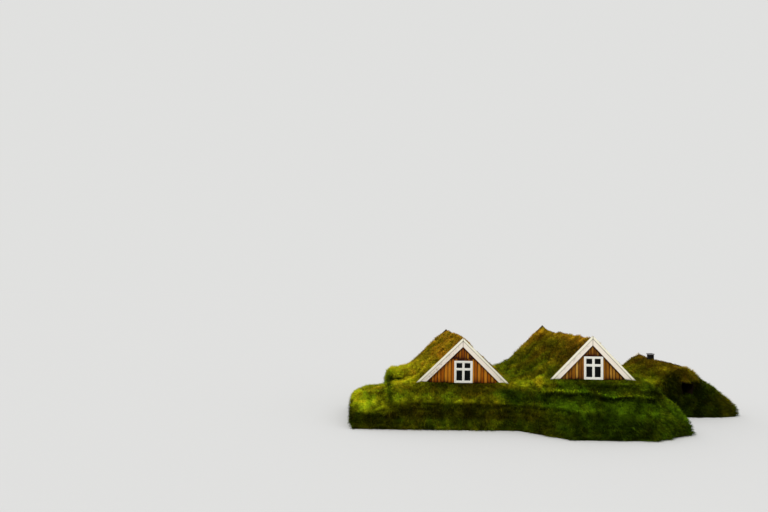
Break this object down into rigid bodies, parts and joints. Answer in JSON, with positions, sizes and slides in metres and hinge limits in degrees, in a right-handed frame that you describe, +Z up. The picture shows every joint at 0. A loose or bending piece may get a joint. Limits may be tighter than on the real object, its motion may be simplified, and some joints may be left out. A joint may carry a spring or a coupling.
{
  "type": "turf farmhouse",
  "caption": "Low farmhouse of gabled timber rooms under grass roofs between thick turf walls, with a turf bank in front.",
  "frame": {"origin": "centre of the outline in plan, on the base plane under the turf walls", "axes": "+X to the right seen from the gable side that the picture shows, +Y from that side towards the back, +Z up"},
  "size_m": [20.635, 9.75, 4.4098],
  "materials": {
    "wall_turf": "grown turf and earth",
    "roof_turf": "dry grass on turf",
    "old_timber": "dark old timber",
    "floor_timber": "worn planks",
    "gable_timber": "oiled boards, weathered",
    "door_timber": "oiled planks, weathered",
    "white_paint": "white oil paint on boards",
    "window_glass": "clear over a dark room",
    "tarred_timber": "tarred boards"
  },
  "bodies": {
    "root": {"left_turf_wall": "wall_turf", "middle_turf_wall": "wall_turf", "right_turf_wall": "wall_turf", "kitchen_turf_wall": "wall_turf", "left_bank": "wall_turf", "left_front_turf_wall": "wall_turf", "right_front_turf_wall": "wall_turf", "kitchen_front_turf_wall": "wall_turf", "left_roof_turf": "roof_turf", "left_roof_boards": "old_timber", "left_rafters": "old_timber", "left_wall_frame": "old_timber", "right_roof_turf": "roof_turf", "right_roof_boards": "old_timber", "right_rafters": "old_timber", "right_wall_frame": "old_timber", "kitchen_roof_turf": "roof_turf", "kitchen_roof_boards": "old_timber", "kitchen_rafters": "old_timber", "kitchen_wall_frame": "old_timber", "left_floor": "floor_timber", "left_front_gable": "gable_timber", "left_front_barge_boards": "white_paint", "left_front_window": "white_paint", "left_front_glass": "window_glass", "left_back_gable": "gable_timber", "left_back_barge_boards": "white_paint", "left_back_window": "white_paint", "left_back_glass": "window_glass", "left_door": "door_timber", "right_floor": "floor_timber", "right_front_gable": "gable_timber", "right_front_barge_boards": "white_paint", "right_front_window": "white_paint", "right_front_glass": "window_glass", "right_back_gable": "gable_timber", "right_back_barge_boards": "white_paint", "right_back_window": "white_paint", "right_back_glass": "window_glass", "right_door": "door_timber", "kitchen_back_gable": "gable_timber", "kitchen_back_barge_boards": "white_paint", "kitchen_door": "door_timber", "kitchen_hatch_frame": "old_timber", "kitchen_chimney": "tarred_timber"}
  },
  "joints": []
}
